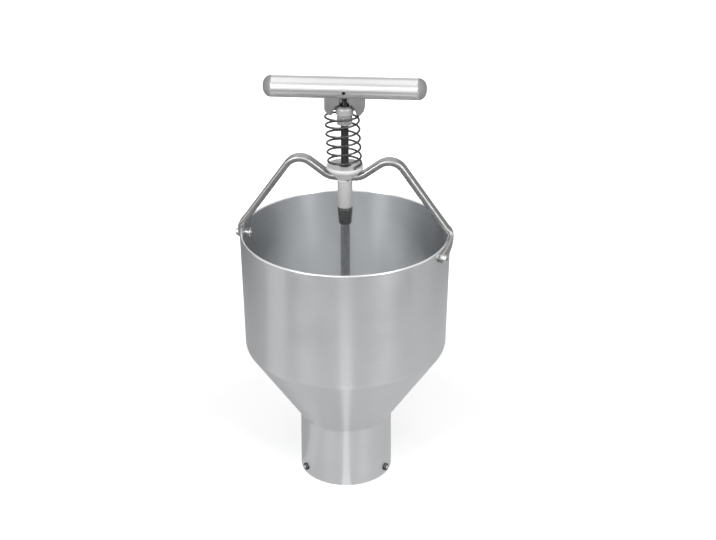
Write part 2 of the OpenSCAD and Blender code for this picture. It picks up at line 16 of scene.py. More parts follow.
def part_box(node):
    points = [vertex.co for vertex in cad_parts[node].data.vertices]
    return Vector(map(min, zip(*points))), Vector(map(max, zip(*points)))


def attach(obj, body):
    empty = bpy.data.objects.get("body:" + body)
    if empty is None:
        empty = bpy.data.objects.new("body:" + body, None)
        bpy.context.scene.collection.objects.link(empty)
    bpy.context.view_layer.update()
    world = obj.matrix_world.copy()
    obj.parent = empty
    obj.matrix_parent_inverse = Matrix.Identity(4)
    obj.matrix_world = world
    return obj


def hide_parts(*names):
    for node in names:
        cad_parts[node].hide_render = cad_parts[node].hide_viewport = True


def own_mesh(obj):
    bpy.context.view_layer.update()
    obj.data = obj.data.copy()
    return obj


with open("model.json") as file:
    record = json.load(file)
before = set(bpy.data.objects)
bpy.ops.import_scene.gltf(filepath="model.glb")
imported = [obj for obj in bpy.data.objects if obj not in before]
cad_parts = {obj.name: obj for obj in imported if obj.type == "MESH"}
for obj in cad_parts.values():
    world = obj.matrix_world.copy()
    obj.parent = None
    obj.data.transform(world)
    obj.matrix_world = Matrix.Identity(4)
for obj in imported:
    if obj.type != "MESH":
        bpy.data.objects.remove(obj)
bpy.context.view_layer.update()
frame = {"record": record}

mm = 0.001
record = frame["record"]
body_of = {node: body for body, nodes in record["behaviour"]["bodies"].items() for node in nodes}


def low_of(node):
    """Height of the lowest point of a solid."""
    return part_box(node)[0].z / mm


def high_of(node):
    """Height of the highest point of a solid."""
    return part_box(node)[1].z / mm


def span_of(node):
    """Heights of the lowest and the highest point of a solid."""
    return low_of(node), high_of(node)


def radius_of(node):
    """Radius of a solid that is round about the plunger's axis."""
    low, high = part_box(node)
    return max(high.x - low.x, high.y - low.y) / 2 / mm


# %% [markdown]
# The camera comes first, because every later look depends on it. Its place was worked out from points that show in the
# photograph and are known on the solids: the rim, the outlet, the ends of the handle. The small shift moves the picture
# sideways without turning the camera, as cropping does.

# %% Camera
photo_width = 716
photo_height = 540
focal_px = 1371.5
sensor_mm = 36
aim = Vector((0, 0, 0.2))
aim_px = (345.5, 296.05)
camera_distance = 1.401
camera_turn = math.radians(8)
camera_rise = math.radians(27)
camera_roll = math.radians(-0.27)


def direction(turn, rise):
    """Unit vector from the object, turned from the front towards +X and raised over the level."""
    flat = math.cos(rise)
    return Vector((math.sin(turn) * flat, -math.cos(turn) * flat, math.sin(rise)))


camera = bpy.data.objects.new("camera", bpy.data.cameras.new("camera"))
bpy.context.scene.collection.objects.link(camera)
bpy.context.scene.camera = camera
towards = direction(camera_turn, camera_rise)
camera.location = aim + towards * camera_distance
facing = towards.to_track_quat("Z", "Y") @ Quaternion((0, 0, 1), camera_roll)
camera.rotation_euler = facing.to_euler()
camera.data.sensor_width = sensor_mm
camera.data.lens = focal_px / photo_width * sensor_mm
camera.data.shift_x = (photo_width / 2 - aim_px[0]) / photo_width
camera.data.shift_y = (aim_px[1] - photo_height / 2) / photo_width
print("lens", round(camera.data.lens, 2), "mm")

# %% [markdown]
# Metal shows its surroundings, so the studio is built with the same care as the object. A white room stands all round,
# and soft boxes draw the bright bands. The floor and the room are white to the camera and to reflections, while the
# lamps stay at a plain level. Grey cards tone the metal down: two screens behind the sides give round pieces their dark
# edges, a third stands high at the back, and two rings of cards on the floor give the hopper its upright bands.

# %% Mesh and shader helpers
def add_mesh(name, points, faces, material):
    """An object in the scene with a mesh of those points and faces."""
    mesh = bpy.data.meshes.new(name)
    mesh.from_pydata(points, [], faces)
    mesh.materials.append(material)
    thing = bpy.data.objects.new(name, mesh)
    bpy.context.scene.collection.objects.link(thing)
    return thing


def new_material(name):
    """A plain material and its shader."""
    material = bpy.data.materials.new(name)
    material.use_nodes = True
    return material, material.node_tree.nodes["Principled BSDF"]


def add(tree, kind, inputs=None, **settings):
    """A new shader node: its inputs, by name or number, take a value or a link from another node's socket."""
    node = tree.nodes.new("ShaderNode" + kind)
    for name, value in settings.items():
        setattr(node, name, value)
    for name, value in (inputs or {}).items():
        if isinstance(value, bpy.types.NodeSocket):
            tree.links.new(value, node.inputs[name])
        else:
            node.inputs[name].default_value = value
    return node


def calc(tree, operation, *values):
    """The result of one Math node."""
    return add(tree, "Math", dict(enumerate(values)), operation=operation).outputs[0]


def spread(tree, value, low, high, start=0.0, end=1.0):
    """A value that goes from start to end while the given one goes from low to high, and stays within them."""
    inputs = {"Value": value, "From Min": low, "From Max": high, "To Min": start, "To Max": end}
    return add(tree, "MapRange", inputs).outputs["Result"]


def blend_colour(tree, share, first, second):
    """The first colour where the share is 0, the second one where it is 1."""
    return add(tree, "Mix", {0: share, 6: first, 7: second}, data_type="RGBA").outputs[2]


def grey(level, warmth=0.0):
    """A grey of that level, made warmer or, below 0, bluer."""
    return (level * (1 + warmth), level, level * (1 - warmth), 1)


def seen_directly(tree):
    """1 for rays of the camera and of reflections, 0 for rays that only light the object."""
    path = add(tree, "LightPath").outputs
    mirrored = calc(tree, "MAXIMUM", path["Is Glossy Ray"], path["Is Transmission Ray"])
    return calc(tree, "MAXIMUM", path["Is Camera Ray"], mirrored)


print("mesh and shader helpers ready")

# %% Room
room_light = 0.5
room = bpy.data.worlds.new("room")
room.use_nodes = True
bpy.context.scene.world = room
wall_shader = room.node_tree.nodes["Background"]
wall_shader.inputs["Color"].default_value = grey(1)
wall_level = spread(room.node_tree, seen_directly(room.node_tree), 0, 1, room_light, 1)
room.node_tree.links.new(wall_level, wall_shader.inputs["Strength"])
bpy.context.scene.view_settings.view_transform = "Standard"
print("room light", room_light)

# %% Floor
floor_size = 4.0
floor_white = 0.86
near_glow, far_glow = 0.3, 1.0
glow_reach = (0.2, 0.9)


def floor_paper():
    """White paper: a pale diffuse sheet that is lifted to white where it is seen and still takes a shadow."""
    material, shader = new_material("floor_paper")
    tree = material.node_tree
    place = add(tree, "TexCoord").outputs["Object"]
    fibre = add(tree, "TexNoise", {"Vector": place, "Scale": 90.0, "Detail": 3.0}).outputs[0]
    tree.links.new(blend_colour(tree, fibre, grey(floor_white), grey(floor_white + 0.02)), shader.inputs["Base Color"])
    shader.inputs["Roughness"].default_value = 0.9
    shader.inputs["Emission Color"].default_value = grey(1)
    distance = add(tree, "VectorMath", {0: place}, operation="LENGTH").outputs["Value"]
    glow = spread(tree, distance, *glow_reach, near_glow, far_glow)
    tree.links.new(calc(tree, "MULTIPLY", seen_directly(tree), glow), shader.inputs["Emission Strength"])
    return material


floor_corners = floor_size * np.array([[-1, -1, 0], [1, -1, 0], [1, 1, 0], [-1, 1, 0]])
floor = add_mesh("floor", floor_corners.tolist(), [(0, 1, 2, 3)], floor_paper())
print("floor", 2 * floor_size, "m wide")

# %% Lamps
def soft_box(name, turn, rise, distance, width, height, power):
    """A rectangular lamp that faces the object. Its turn is measured from the camera's own, both angles in degrees."""
    lamp = bpy.data.lights.new(name, "AREA")
    lamp.shape = "RECTANGLE"
    lamp.size = width
    lamp.size_y = height
    lamp.energy = power
    box = bpy.data.objects.new(name, lamp)
    way = direction(camera_turn + math.radians(turn), math.radians(rise))
    box.location = aim + way * distance
    box.rotation_euler = way.to_track_quat("Z", "Y").to_euler()
    bpy.context.scene.collection.objects.link(box)
    return box


soft_box("front_strip", -12, 22, 2.2, 0.5, 1.0, 4)
soft_box("left_box", -42, 30, 1.8, 0.35, 1.0, 12)
soft_box("right_box", 42, 30, 1.8, 0.35, 1.0, 12)
soft_box("top_box", 0, 88, 1.6, 2.2, 1.4, 5)

# %% Cards
# Each screen: turn from the camera, width, low and high edge, grey.
screens = ((-135, 1.6, 0, 1.2, 0.15), (130, 1.8, 0, 1.2, 0.4), (180, 1.6, 1.3, 2.1, 0.5))
screen_distance = 1.5
# Each sector: first and last turn from the camera, grey of the near and of the far ring.
floor_sectors = ((-180, -88, 0.48, 0.3), (-88, -62, 0.64, 0.52), (-62, -6, 0.57, 0.2), (-6, 6, 0.9, 0.36),
                 (6, 70, 0.61, 0.28), (70, 180, 0.6, 0.42))
sector_near, sector_step, sector_far = 0.0487, 0.5, 1.7
sector_lift = 0.0005


def card(name, points, faces, level):
    """A card of that grey that only reflections see."""
    material, shader = new_material(name)
    shader.inputs["Base Color"].default_value = grey(0)
    shader.inputs["Specular IOR Level"].default_value = 0
    shader.inputs["Emission Color"].default_value = grey(1)
    shader.inputs["Emission Strength"].default_value = level
    thing = add_mesh(name, points, faces, material)
    thing.visible_camera = False
    thing.visible_diffuse = False
    thing.visible_shadow = False


def upright_card(turn, width, low, high, level):
    """A screen at that turn from the camera's azimuth, in degrees, between two heights."""
    way = direction(camera_turn + math.radians(turn), 0)
    side = Vector((0, 0, 1)).cross(way) * width / 2
    foot = way * screen_distance + Vector((0, 0, low))
    top = Vector((0, 0, high - low))
    card("screen", [foot - side, foot + side, foot + side + top, foot - side + top], [(0, 1, 2, 3)], level)


def floor_card(start, end, near, far, level):
    """A part of a ring on the floor, between two turns from the camera's azimuth, in degrees, and two distances."""
    turns = camera_turn + np.radians(np.linspace(start, end, 25))
    arc = [direction(turn, 0) for turn in turns]
    points = [way * reach + Vector((0, 0, sector_lift)) for way in arc for reach in (near, far)]
    card("sector", points, [(i, i + 1, i + 3, i + 2) for i in range(0, len(points) - 2, 2)], level)


for values in screens:
    upright_card(*values)
for start, end, near_level, far_level in floor_sectors:
    floor_card(start, end, sector_near, sector_step, near_level)
    floor_card(start, end, sector_step, sector_far, far_level)
print("cards", len(screens) + 2 * len(floor_sectors))

# %% [markdown]
# Nearly every piece here was turned, spun, drawn or bent, so four surfaces make them all: a profile carried round an
# axis, the same with holes drilled through its wall, a bar with rounded edges carried along a line, and a wire.
# Real edges are never sharp, so profiles get small arcs at their corners, which catch the light.

# %% Shape helpers
def unit(vectors):
    """Vectors of length 1 along the given ones."""
    vectors = np.asarray(vectors, float)
    return vectors / np.linalg.norm(vectors, axis=-1, keepdims=True)


def full_turn(count):
    """That many angles, spread evenly over a full turn."""
    return np.arange(count) * 2 * np.pi / count


def turned(radius, angle, height):
    """Points at that radius, angle and height round +Z: x = r cos a, y = r sin a."""
    radius, angle, height = np.broadcast_arrays(radius, angle, height)
    return np.stack([radius * np.cos(angle), radius * np.sin(angle), height], -1)


def grid_faces(rows, columns, close_rows=True):
    """The four corners of each cell of a grid. Its columns close on themselves, and its rows too unless told not to."""
    row = np.arange(rows if close_rows else rows - 1)[:, None]
    column = np.arange(columns)[None, :]
    next_row = (row + 1) % rows
    next_column = (column + 1) % columns
    cells = [row * columns + column, row * columns + next_column,
             next_row * columns + next_column, next_row * columns + column]
    return np.stack(cells, -1).reshape(-1, 4)


def capped(rings, first, last):
    """Rings of points joined into a skin whose two ends close on a point each."""
    ends = [np.broadcast_to(end, rings[:1].shape) for end in (first, last)]
    rings = np.concatenate([ends[0], rings, ends[1]])
    return rings.reshape(-1, 3), grid_faces(len(rings), rings.shape[1], close_rows=False)


def rounded(corners, radii, steps=5, closed=True):
    """Straight lines through the corners, each corner turned on an arc. The arc starts radius x tan(turn / 2) before
    the corner, its centre lies a radius to the side, and its points are centre - side x cos + ahead x sin of the turn
    made. A point beside each end of an arc keeps the straight part flat in its shading."""
    corners = np.asarray(corners, float)
    radii = np.broadcast_to(radii, len(corners))[:, None]
    ahead = unit(corners - np.roll(corners, 1, axis=0))
    onward = unit(np.roll(corners, -1, axis=0) - corners)
    cosine = (ahead * onward).sum(1, keepdims=True)
    turn = np.arccos(np.clip(cosine, -1, 1))
    side = unit(onward - ahead * cosine)
    start = corners - ahead * radii * np.tan(turn / 2)
    made = (turn * np.linspace(0, 1, steps + 1))[..., None]
    swing = ahead[:, None] * np.sin(made) - side[:, None] * np.cos(made)
    arcs = (start + side * radii)[:, None] + radii[..., None] * swing
    margin = 0.3 * radii
    before = (arcs[:, 0] - ahead * margin)[:, None]
    after = (arcs[:, -1] + onward * margin)[:, None]
    path = np.concatenate([before, arcs, after], axis=1)
    if closed:
        return path.reshape(-1, corners.shape[1])
    return np.concatenate([corners[:1], path[1:-1].reshape(-1, corners.shape[1]), corners[-1:]])


def lengths_along(path):
    """Length of the way from the first point of a path to each of its points."""
    steps = np.linalg.norm(np.diff(path, axis=0), axis=1)
    return np.concatenate([[0], np.cumsum(steps)])


def resampled(path, places):
    """Points of a path at the given lengths along it."""
    along = lengths_along(path)
    return np.stack([np.interp(places, along, coordinate) for coordinate in path.T], 1)


def dense(loop, step):
    """A closed profile with points added along its lines, no further apart than the step."""
    path = np.concatenate([loop, loop[:1]])
    along = lengths_along(path)
    return resampled(path, np.union1d(along[:-1], np.arange(0, along[-1], step)))


def two_sided(loop, heights):
    """A closed profile that goes up the outside of a wall and down its inside, made again with the same rows on both
    sides: every height of its own points and the given ones, with the radius read off each side."""
    top = loop[:, 1].argmax() + 1
    outside, inside = loop[:top], loop[top:][::-1]
    rows = np.unique(np.round(np.concatenate([loop[:, 1], heights]), 4))
    radius_out = np.interp(rows, outside[:, 1], outside[:, 0])
    radius_in = np.interp(rows, inside[:, 1], inside[:, 0])
    return np.concatenate([np.stack([radius_out, rows], 1), np.stack([radius_in, rows], 1)[::-1]])


def lathe(profile, columns=96, flats=np.inf):
    """A closed profile of radius and height carried round +Z. Flats, one for all rows or one for each, cut the radius
    back to a hexagon: r is at most half the flats over the cosine of the angle to a flat's middle."""
    profile = np.asarray(profile, float)
    angle = full_turn(columns)
    from_flat = (angle + np.pi / 6) % (np.pi / 3) - np.pi / 6
    hexagon = np.reshape(flats, (-1, 1)) / 2 / np.cos(from_flat)
    radius = np.minimum(profile[:, :1], hexagon)
    return turned(radius, angle, profile[:, 1:]).reshape(-1, 3), grid_faces(len(profile), columns)


def placed(shell, origin, x_axis, z_axis):
    """The shell turned so that its own X and Z lie along these directions, with its origin at that point."""
    points, faces = shell
    x_axis = unit(x_axis)
    z_axis = unit(z_axis)
    axes = np.array([x_axis, np.cross(z_axis, x_axis), z_axis])
    return points @ axes + np.asarray(origin, float), faces


def joined(shells):
    """Several shells as one list of points and faces."""
    counts = [len(points) for points, faces in shells]
    starts = np.cumsum([0] + counts[:-1])
    faces = [cells + start for (points, cells), start in zip(shells, starts)]
    return np.concatenate([points for points, cells in shells]), np.concatenate(faces)


print("shape helpers ready")

# %% [markdown]
# A piece becomes a mesh in one place: seams and poles are welded, faces turned outwards, corners over a limit kept
# sharp. Each point also stores how strongly the surface bends outwards, so that a finish can wear its edges bright.
# The piece then rides on the body of the solid that it stands for.

# %% Putting a piece in the scene
weld_gap = 1e-6
sharp_angle = math.radians(32)


def values_of(items, name, width, kind=float):
    """One value of every item of a mesh, as rows of that width."""
    values = np.empty(len(items) * width, kind)
    items.foreach_get(name, values)
    return values.reshape(-1, width)


def mark_edges(mesh):
    """Store on each point the greatest outward bend towards a neighbour: the change of the normal along the edge over
    the edge's length, times 1 mm. It is 0 on a flat face and 1 on an edge rounded to 1 mm."""
    places = values_of(mesh.vertices, "co", 3)
    normals = values_of(mesh.vertex_normals, "vector", 3)
    ends = values_of(mesh.edges, "vertices", 2, int)
    step = places[ends[:, 0]] - places[ends[:, 1]]
    change = normals[ends[:, 0]] - normals[ends[:, 1]]
    bend = (step * change).sum(1) / np.maximum((step * step).sum(1), 1e-12) * mm
    edge = np.zeros(len(places))
    np.maximum.at(edge, ends.ravel(), np.repeat(bend, 2))
    mesh.attributes.new("edge", "FLOAT", "POINT").data.foreach_set("value", np.clip(edge, 0, 1))


def put_piece(name, shells, material, node):
    """Make a mesh of the shells, in millimetres, that stands for a solid: it rides on the solid's body and hides it."""
    points, faces = joined(shells)
    piece = add_mesh(name, (points * mm).tolist(), faces.tolist(), material)
    mesh = piece.data
    work = bmesh.new()
    work.from_mesh(mesh)
    bmesh.ops.remove_doubles(work, verts=work.verts, dist=weld_gap)
    bmesh.ops.recalc_face_normals(work, faces=work.faces)
    work.to_mesh(mesh)
    work.free()
    mesh.shade_smooth()
    mesh.set_sharp_from_angle(angle=sharp_angle)
    mark_edges(mesh)
    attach(piece, body_of[node])
    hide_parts(node)
    low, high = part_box(node)
    off = max(np.abs(points.min(0) * mm - low).max(), np.abs(points.max(0) * mm - high).max()) / mm
    print(name, len(mesh.polygons), "faces, box within", round(off, 2), "mm of its solid")
    return piece


print("ready to put pieces in")

# %% [markdown]
# Four surface patterns serve all the finishes, and a fifth one wears their edges. Turned lines run round an axis, as a
# lathe or a spinning roller leaves them. Grain is the fine roughness of a moulding or a blackened screw. Scratches run
# along a drawn or polished bar. Clouds are the soft patches that handling leaves. Each pattern is a node group, so one
# change reaches every finish that uses it.

# %% Pattern groups
def noise(tree, place, scale, detail):
    """Noise stretched to fill 0 to 1."""
    inputs = {"Vector": place, "Scale": scale, "Detail": detail, "Roughness": 0.62}
    return spread(tree, add(tree, "TexNoise", inputs).outputs[0], 0.28, 0.72)


def turned_lines(tree, place, size):
    """Rings round Z: noise along height plus radius, that changes only slowly on the way round."""
    x, y, z = add(tree, "SeparateXYZ", {0: place}).outputs
    square = calc(tree, "ADD", calc(tree, "MULTIPLY", x, x), calc(tree, "MULTIPLY", y, y))
    radius = calc(tree, "MAXIMUM", calc(tree, "SQRT", square), 1e-5)
    across = calc(tree, "DIVIDE", calc(tree, "MULTIPLY_ADD", radius, 1.6, z), size)
    around = {0: calc(tree, "DIVIDE", x, radius), 1: calc(tree, "DIVIDE", y, radius), 2: across}
    return noise(tree, add(tree, "CombineXYZ", around).outputs[0], 1.0, 3.0)


def cast_grain(tree, place, size):
    """Grain of that size: fine noise with the pits of a Voronoi pattern in it."""
    scale = calc(tree, "DIVIDE", 1.0, size)
    bumps = noise(tree, place, scale, 4.0)
    cells = add(tree, "TexVoronoi", {"Vector": place, "Scale": scale}).outputs["Distance"]
    return calc(tree, "MULTIPLY", bumps, spread(tree, cells, 0.0, 0.35, 0.45))


def long_scratches(tree, place, size):
    """Scratches along Z: noise drawn out sixty times, of which only the peaks are kept."""
    drawn = add(tree, "VectorMath", {0: place, 1: (1, 1, 1 / 60)}, operation="MULTIPLY").outputs[0]
    lines = noise(tree, drawn, calc(tree, "DIVIDE", 1.0, size), 2.0)
    return spread(tree, lines, 0.45, 0.95)


def clouds(tree, place, size):
    """Soft patches of that size."""
    return noise(tree, place, calc(tree, "DIVIDE", 1.0, size), 4.0)


def edge_wear(tree, place, bend):
    """Worn edges: the stored bend of the surface, broken up by fine noise."""
    broken = noise(tree, place, 450.0, 3.0)
    worn = calc(tree, "MULTIPLY", bend, spread(tree, broken, 0, 1, 0.5, 1.2))
    return spread(tree, worn, 0.15, 0.8)


def pattern_group(build):
    """A shader group that turns a place and a value, a size or a bend, into what that function builds from them."""
    tree = bpy.data.node_groups.new(build.__name__, "ShaderNodeTree")
    for socket, kind in (("Place", "Vector"), ("Value", "Float")):
        tree.interface.new_socket(socket, in_out="INPUT", socket_type="NodeSocket" + kind)
    tree.interface.new_socket("Pattern", in_out="OUTPUT", socket_type="NodeSocketFloat")
    given = tree.nodes.new("NodeGroupInput").outputs
    result = tree.nodes.new("NodeGroupOutput").inputs
    tree.links.new(build(tree, given["Place"], given["Value"]), result["Pattern"])
    return tree


builders = (turned_lines, cast_grain, long_scratches, clouds, edge_wear)
groups = {build.__name__: pattern_group(build) for build in builders}
print("pattern groups", sorted(groups))

# %% [markdown]
# Every finish mixes the same things: a pattern that runs from a dull to a bare colour, clouds that change the gloss,
# worn edges, and a fine bump. One function builds them from a few values, so that finishes differ by what they are.

# %% Finishes
cloud_size = 28 * mm


def pattern(tree, name, place, value):
    """One of the pattern groups, placed in a material."""
    return add(tree, "Group", {"Place": place, "Value": value}, node_tree=groups[name]).outputs["Pattern"]


def finish(name, bare, dull, worn, gloss, kind, size, bump, metallic=1.0, centre=(0, 0, 0), turn=(0, 0, 0), **values):
    """A surface whose pattern goes from the dull to the bare colour and raises a bump of that height in metres. Gloss
    is the least and the greatest roughness. Centre and turn put the pattern's Z on the piece's own axis. Other values
    are set on the shader's sockets."""
    material, shader = new_material(name)
    tree = material.node_tree
    spot = add(tree, "TexCoord").outputs["Object"]
    place = add(tree, "Mapping", {"Vector": spot, "Location": centre, "Rotation": turn},
                vector_type="TEXTURE").outputs[0]
    marks = pattern(tree, kind, place, size)
    patches = pattern(tree, "clouds", place, cloud_size)
    edge = add(tree, "Attribute", attribute_name="edge").outputs["Fac"]
    wear = pattern(tree, "edge_wear", place, edge)
    soiled = calc(tree, "MULTIPLY", marks, spread(tree, patches, 0, 1, 0.75, 1))
    colour = blend_colour(tree, wear, blend_colour(tree, soiled, dull, bare), worn)
    mixed = calc(tree, "ADD", calc(tree, "MULTIPLY", marks, 0.4), calc(tree, "MULTIPLY", patches, 0.6))
    tree.links.new(colour, shader.inputs["Base Color"])
    tree.links.new(spread(tree, mixed, 0.1, 0.9, *gloss), shader.inputs["Roughness"])
    relief = add(tree, "Bump", {"Strength": 1.0, "Distance": bump, "Height": marks}).outputs[0]
    tree.links.new(relief, shader.inputs["Normal"])
    shader.inputs["Metallic"].default_value = metallic
    for socket, value in values.items():
        shader.inputs[socket.replace("_", " ")].default_value = value
    return material


print("finish ready")

# %% [markdown]
# The hopper is one sheet of aluminium, spun over a form: barrel, cone and outlet tube run into each other on bends, and
# the roller leaves fine rings that draw every reflection out into an upright band. A lathe profile with both sides of
# the sheet gives it. Its holes are real: a window of the grid is replaced by rings that shrink onto the hole's circle.

# %% Drilled walls
hole_window = 1.7
ring_count = 4


def hole_rows(height, radius):
    """Heights of the grid's rows about a hole."""
    return height + radius * hole_window * np.linspace(-1, 1, 9)


def window_border(rows, columns):
    """Row and column of every grid point on the border of a window, once round it."""
    sides = ((rows[0], columns[:-1]), (rows[:-1], columns[-1]), (rows[-1], columns[:0:-1]), (rows[:0:-1], columns[0]))
    return np.concatenate([np.stack(np.broadcast_arrays(*side), 1) for side in sides])


def shrunk_rings(border, radius):
    """Rings that go from a border about a middle to a circle: point = border x (1 - t) + circle x t."""
    share = np.linspace(0, 1, ring_count + 1)[1:, None, None]
    return border * (1 - share) + unit(border) * radius * share


def drilled_lathe(profile, columns, holes):
    """A two-sided lathe with round holes through its wall, each given by its angle, its height and its radius. Round
    each hole, the cells within a window are taken out of both sides. Rings shrink from the window's border to the
    circle, and a last strip of faces lines the hole."""
    window = hole_window * 1.001
    half = len(profile) // 2
    step = 2 * np.pi / columns
    points, faces = lathe(profile, columns)
    kept = np.ones((len(profile), columns), bool)
    more_points, more_faces = [], []
    next_point = len(points)
    for angle, height, radius in holes:
        circles = []
        for rows in (np.arange(half), np.arange(half, len(profile))[::-1]):
            near = rows[np.abs(profile[rows, 1] - height) < window * radius]
            wall_r = profile[near, 0].mean()
            middle = round(angle / step)
            reach = math.ceil(window * radius / (wall_r * step))
            column = np.arange(middle - reach, middle + reach + 1)
            kept[np.ix_(np.arange(near.min(), near.max()), column[:-1] % columns)] = False
            border = window_border(near, column)
            flat = np.stack([(border[:, 1] * step - angle) * wall_r, profile[border[:, 0], 1] - height], 1)
            rings = shrunk_rings(flat, radius)
            level = rings[..., 1] + height
            wall = np.interp(level, profile[near, 1], profile[near, 0])
            swing = angle + rings[..., 0] / wall_r
            more_points.append(turned(wall, swing, level).reshape(-1, 3))
            count = len(border)
            first = border[:, 0] * columns + border[:, 1] % columns
            numbers = np.concatenate([first, next_point + np.arange(ring_count * count)])
            more_faces.append(numbers[grid_faces(ring_count + 1, count, close_rows=False)])
            circles.append(numbers[-count:])
            next_point += ring_count * count
        lining = np.concatenate(circles)
        more_faces.append(lining[grid_faces(2, len(circles[0]), close_rows=False)])
    left = faces[kept.ravel()]
    return np.concatenate([points] + more_points), np.concatenate([left] + more_faces)


print("drill ready")

# %% Hopper
wall = 2.5
mouth_r = 48.5
neck_r, neck_z = 47.8, 67
shoulder_r, shoulder_z = 103.2, 151
rim_r, rim_z = 105, high_of("hopper")
neck_bend = 5
shoulder_bend = 9
rim_round = 1.1
mouth_round = 0.5
die_angles = np.radians([-23, 97, 217])
die_z = 8
die_hole_r = 3.1
foot_angles = np.radians([-20, 180])
foot_screw_z = rim_z - 8
foot_hole_r = 2.2


def inset(path, depth):
    """An open path moved sideways: each inner corner goes along the sum of its two sides' normals over 1 + their dot
    product, and the two ends keep their heights."""
    ahead = unit(np.diff(path, axis=0))
    normal = np.stack([-ahead[:, 1], ahead[:, 0]], 1)
    first, second = normal[:-1], normal[1:]
    corners = path[1:-1] + depth * (first + second) / (1 + (first * second).sum(1, keepdims=True))
    ends = path[[0, -1]] + depth * np.stack([1 / normal[[0, -1], 0], [0, 0]], 1)
    return np.concatenate([ends[:1], corners, ends[1:]])


sheet_out = np.array([[mouth_r, 0], [neck_r, neck_z], [shoulder_r, shoulder_z], [rim_r, rim_z]])
sheet_in = inset(sheet_out, wall)
sheet = rounded(
    np.concatenate([sheet_out, sheet_in[::-1]]),
    [mouth_round, neck_bend, shoulder_bend, rim_round, rim_round, shoulder_bend - wall, neck_bend + wall, mouth_round],
    steps=8)
hopper_holes = [(angle, die_z, die_hole_r) for angle in die_angles]
hopper_holes += [(angle, foot_screw_z, foot_hole_r) for angle in foot_angles]
hopper_rows = np.concatenate([hole_rows(die_z, die_hole_r), hole_rows(foot_screw_z, foot_hole_r)])
hopper_profile = two_sided(sheet, hopper_rows)
spun_aluminium = finish(
    "spun_aluminium", grey(0.78, -0.015), grey(0.73, -0.02), grey(0.84), (0.28, 0.34), "turned_lines", 0.7 * mm,
    0.002 * mm, Anisotropic=0.75, Anisotropic_Rotation=0.25)
put_piece("hopper_sheet", [drilled_lathe(hopper_profile, 360, hopper_holes)], spun_aluminium, "hopper")

# %% [markdown]
# Inside the outlet sits the die ring, turned from bar, with a lead at the top that guides the batter down. Three screws
# hold it through the tube. Each has a low black head, with the bright end of the screw in its middle. A thread is a
# lathe whose radius also depends on the angle, which makes the groove climb.

# %% Die ring and its screws
die_in_r = 41
die_lead = 4
die_low, die_high = span_of("die_ring")
die_out_r = radius_of("die_ring")
seat_gap = 0.1
screw_pitch = 0.7
die_screw_r = 2
die_screw_in = die_in_r + seat_gap
die_head_r = 4
die_head_h = 2
die_head_seat = np.interp(die_z - die_head_r, (0, neck_z), (mouth_r, neck_r)) + seat_gap
die_head_top = die_head_seat + die_head_h
die_point_r = 2
die_point_h = 0.3


def threaded_bar(radius, pitch, low, high, columns=32):
    """A screw thread along +Z: r = radius - depth x wave(height / pitch - angle / full turn). The wave falls from 0 on
    the crest to 1 in the root. At both ends the thread runs out on a 45 degree chamfer, and the ends are closed."""
    depth = 0.6 * pitch
    height = np.linspace(low, high, int((high - low) / pitch * 8) + 1)[:, None]
    angle = full_turn(columns)
    wave = 1 - np.abs(2 * ((height / pitch - angle / (2 * np.pi)) % 1) - 1)
    to_end = np.minimum(height - low, high - height)
    limit = np.minimum(radius, radius - 1.2 * depth + to_end)
    radius = np.minimum(radius - depth * wave, limit)
    return capped(turned(radius, angle, height), (0, 0, low), (0, 0, high))


def button(radius, low, high, edge):
    """A short round bar along +Z whose upper edge is rounded."""
    return lathe(rounded([(0, low), (radius, low), (radius, high), (0, high)], [0, 0.1, edge, 0], closed=False), 64)


def outward(shell, angle, height):
    """A shell drawn along +Z, laid level so that it points out from the plunger's axis at that angle and height."""
    return placed(shell, (0, 0, height), (0, 0, 1), turned(1, angle, 0))


machined_aluminium = finish(
    "machined_aluminium", grey(0.72), grey(0.6), grey(0.8), (0.2, 0.34), "turned_lines", 0.35 * mm, 0.005 * mm,
    Anisotropic=0.5, Anisotropic_Rotation=0.25)
steel = finish("steel", grey(0.62), grey(0.5), grey(0.75), (0.2, 0.36), "clouds", 1.5 * mm, 0.01 * mm)
black_steel = finish("black_steel", grey(0.05), grey(0.025), grey(0.12), (0.3, 0.45), "cast_grain", 0.4 * mm, 0.01 * mm)
die_profile = rounded(
    [(die_in_r, die_low), (die_out_r, die_low), (die_out_r, die_high),
     (die_in_r + die_lead, die_high), (die_in_r, die_high - die_lead)], [0.4, 0.4, 0.2, 0.2, 0.8])
put_piece("die_ring_turned", [lathe(die_profile, 192)], machined_aluminium, "die_ring")
die_thread = threaded_bar(die_screw_r, screw_pitch, die_screw_in, die_head_seat + die_point_h, 24)
die_head = button(die_head_r, die_head_seat, die_head_top, 0.7)
die_point = button(die_point_r, die_head_top - die_point_h, die_head_top + die_point_h, 0.2)
for name, shells, material in (("die_screw_heads", [die_head], black_steel),
                               ("die_screw_threads", [die_thread, die_point], steel)):
    put_piece(name, [outward(shell, angle, die_z) for angle in die_angles for shell in shells], material, "die_screws")

# %% [markdown]
# The bridge is a cast bar that rises from the hub over a hump, runs down to the rim, and thins into a tab along the
# wall that ends round its screw. One middle line carries a rounded section all the way, while the width, the thickness
# and the lean of the section follow from where the line is. The right tab swings round the wall, and the left one hangs
# straight.

# %% Bridge arms
bar_w = 12.5
bar_t = 6
bar_round = 1.9
tab_w = 10
tab_t = 3
tab_round = 0.7
tab_r = 106.6
hub_low_z = 328.5
valley = np.array([15.5, 0, 332.1])
hump = np.array([47.5, 0, 355.7])
foot = np.array([105, 0, 275.2])
valley_bend, hump_bend, foot_bend = 18, 16, 8
foot_out = 1
foot_run = 14


def smooth_step(value):
    """0 below 0, 1 above 1, and 3 v v - 2 v v v between them."""
    value = np.clip(value, 0, 1)
    return value * value * (3 - 2 * value)


